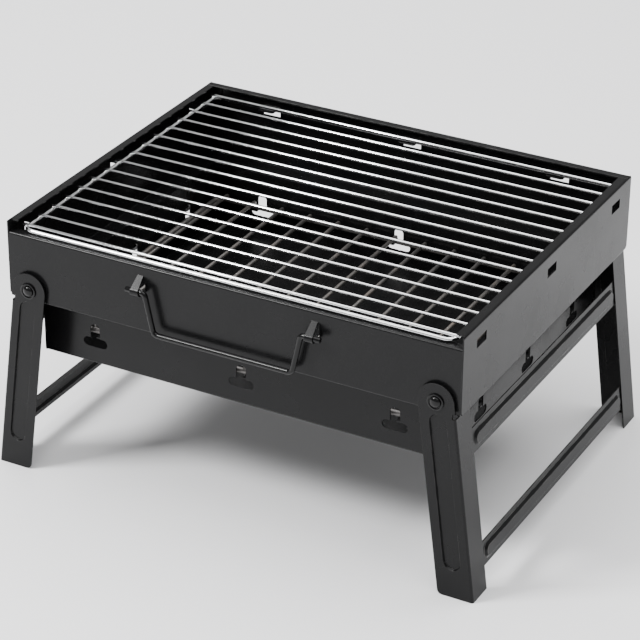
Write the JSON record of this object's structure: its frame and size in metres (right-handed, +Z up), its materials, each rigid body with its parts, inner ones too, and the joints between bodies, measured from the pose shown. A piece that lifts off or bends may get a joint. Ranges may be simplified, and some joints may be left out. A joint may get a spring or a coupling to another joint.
{
  "type": "folding charcoal grill",
  "caption": "Folding sheet-metal charcoal grill: a ring with a wire net and a bail handle, a drop-in slotted charcoal box and splayed legs that fold under it.",
  "frame": {"origin": "on the ground under the middle of the grill", "axes": "+X along the ring's length to the right seen from the handle side, +Y to the rear, +Z up"},
  "size_m": [0.3806, 0.2933, 0.197],
  "materials": {
    "black_coating": "satin heat-resistant coating",
    "gloss_black": "gloss",
    "zinc": "dull",
    "dark_steel": "dull",
    "chrome": "polished"
  },
  "bodies": {
    "ring": {"front_panel": "black_coating", "rear_panel": "black_coating", "left_end_panel": "black_coating", "right_end_panel": "black_coating", "leg_rivets": "gloss_black", "leg_washers": "zinc"},
    "charcoal_box": {"box_front_wall": "black_coating", "box_rear_wall": "black_coating", "box_left_wall": "black_coating", "box_right_wall": "black_coating", "box_floor": "black_coating"},
    "right_leg_frame": {"right_front_leg": "black_coating", "right_rear_leg": "black_coating", "right_upper_crossbar": "black_coating", "right_lower_crossbar": "black_coating"},
    "left_leg_frame": {"left_front_leg": "black_coating", "left_rear_leg": "black_coating", "left_upper_crossbar": "black_coating", "left_lower_crossbar": "black_coating"},
    "handle": {"handle": "gloss_black"},
    "net": {"net_frame": "chrome", "net_bars": "chrome"},
    "charcoal_grate": {"grate_frame": "dark_steel", "grate_bars": "dark_steel"}
  },
  "joints": [
    {"name": "box_lift", "type": "slide", "parent": "ring", "child": "charcoal_box", "axis": [0, 0, 1], "range_m": [0, 0.18]},
    {"name": "right_leg_fold", "type": "hinge", "parent": "ring", "child": "right_leg_frame", "pos_m": [0.1576, 0, 0.147], "axis": [0, 1, 0], "range_deg": [0, 95]},
    {"name": "left_leg_fold", "type": "hinge", "parent": "ring", "child": "left_leg_frame", "pos_m": [-0.1576, 0, 0.147], "axis": [0, -1, 0], "range_deg": [0, 95]},
    {"name": "handle_swing", "type": "hinge", "parent": "ring", "child": "handle", "pos_m": [0, -0.1455, 0.1715], "axis": [-1, 0, 0], "range_deg": [0, 180]},
    {"name": "net_lift", "type": "slide", "parent": "charcoal_box", "child": "net", "axis": [0, 0, 1], "range_m": [0, 0.06]},
    {"name": "grate_lift", "type": "slide", "parent": "charcoal_box", "child": "charcoal_grate", "axis": [0, 0, 1], "range_m": [0, 0.05]}
  ],
  "couplings": [
    {"joint": "right_leg_fold", "follows": "box_lift", "rad_per_m": 9.2},
    {"joint": "left_leg_fold", "follows": "box_lift", "rad_per_m": 9.2}
  ]
}
